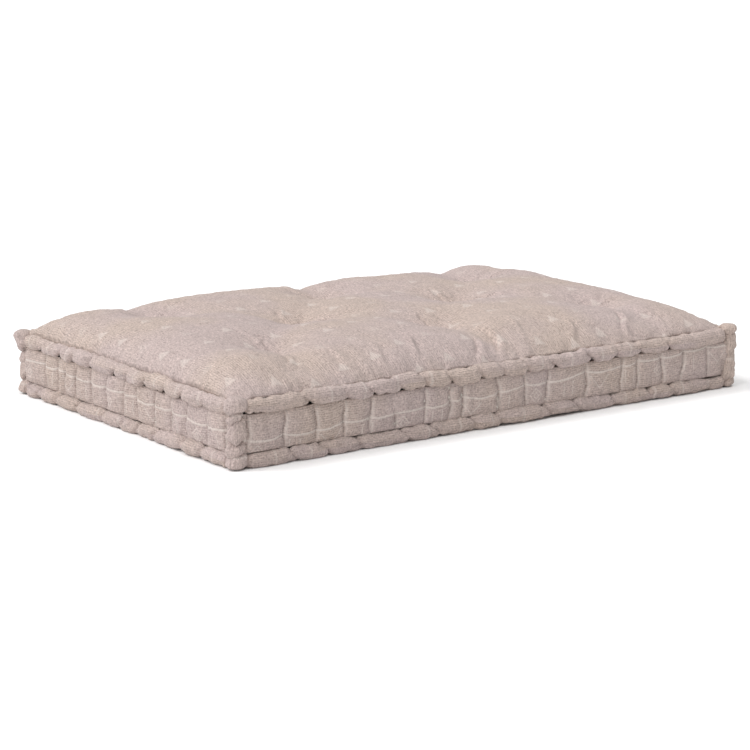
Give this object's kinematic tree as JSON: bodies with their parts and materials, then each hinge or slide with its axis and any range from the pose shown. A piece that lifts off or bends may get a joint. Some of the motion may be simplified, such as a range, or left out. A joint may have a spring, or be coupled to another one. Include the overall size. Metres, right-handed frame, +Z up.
{
  "type": "futon mattress",
  "caption": "Low rectangular floor mattress with a tufted crowned top, a cloth border and hand-rolled edges, filled with layers of fibre.",
  "frame": {"origin": "on the floor, under the middle of the mattress", "axes": "+X along the length, +Y across the width towards the back, +Z up"},
  "size_m": [1.2, 0.8, 0.1716],
  "materials": {
    "top_cloth": "coarse woven cotton, taupe with a pink cast and light slubs",
    "border_cloth": "coarse woven cotton, taupe with thin pale lines",
    "roll_cloth": "coarse woven cotton, taupe, gathered",
    "bottom_cloth": "coarse woven cotton, plain taupe",
    "fibre": "loose felted cotton fibre, off-white",
    "twine": "twisted cotton twine, natural"
  },
  "bodies": {
    "root": {"top_panel": "top_cloth", "bottom_panel": "bottom_cloth", "border_front": "border_cloth", "border_back": "border_cloth", "border_left": "border_cloth", "border_right": "border_cloth", "top_roll_front": "roll_cloth", "top_roll_back": "roll_cloth", "top_roll_left": "roll_cloth", "top_roll_right": "roll_cloth", "bottom_roll_front": "roll_cloth", "bottom_roll_back": "roll_cloth", "bottom_roll_left": "roll_cloth", "bottom_roll_right": "roll_cloth", "corner_roll_front_left": "roll_cloth", "corner_roll_front_right": "roll_cloth", "corner_roll_back_left": "roll_cloth", "corner_roll_back_right": "roll_cloth", "top_roll_rope_front": "fibre", "top_roll_rope_back": "fibre", "top_roll_rope_left": "fibre", "top_roll_rope_right": "fibre", "bottom_roll_rope_front": "fibre", "bottom_roll_rope_back": "fibre", "bottom_roll_rope_left": "fibre", "bottom_roll_rope_right": "fibre", "corner_rope_front_left": "fibre", "corner_rope_front_right": "fibre", "corner_rope_back_left": "fibre", "corner_rope_back_right": "fibre", "lower_batt_1": "fibre", "lower_batt_2": "fibre", "middle_batt_1": "fibre", "middle_batt_2": "fibre", "middle_batt_3": "fibre", "middle_batt_4": "fibre", "crown_batt": "fibre", "tuft_twines": "twine", "tuft_knots": "twine", "top_roll_twines": "twine", "bottom_roll_twines": "twine", "corner_roll_twines": "twine"}
  },
  "joints": []
}
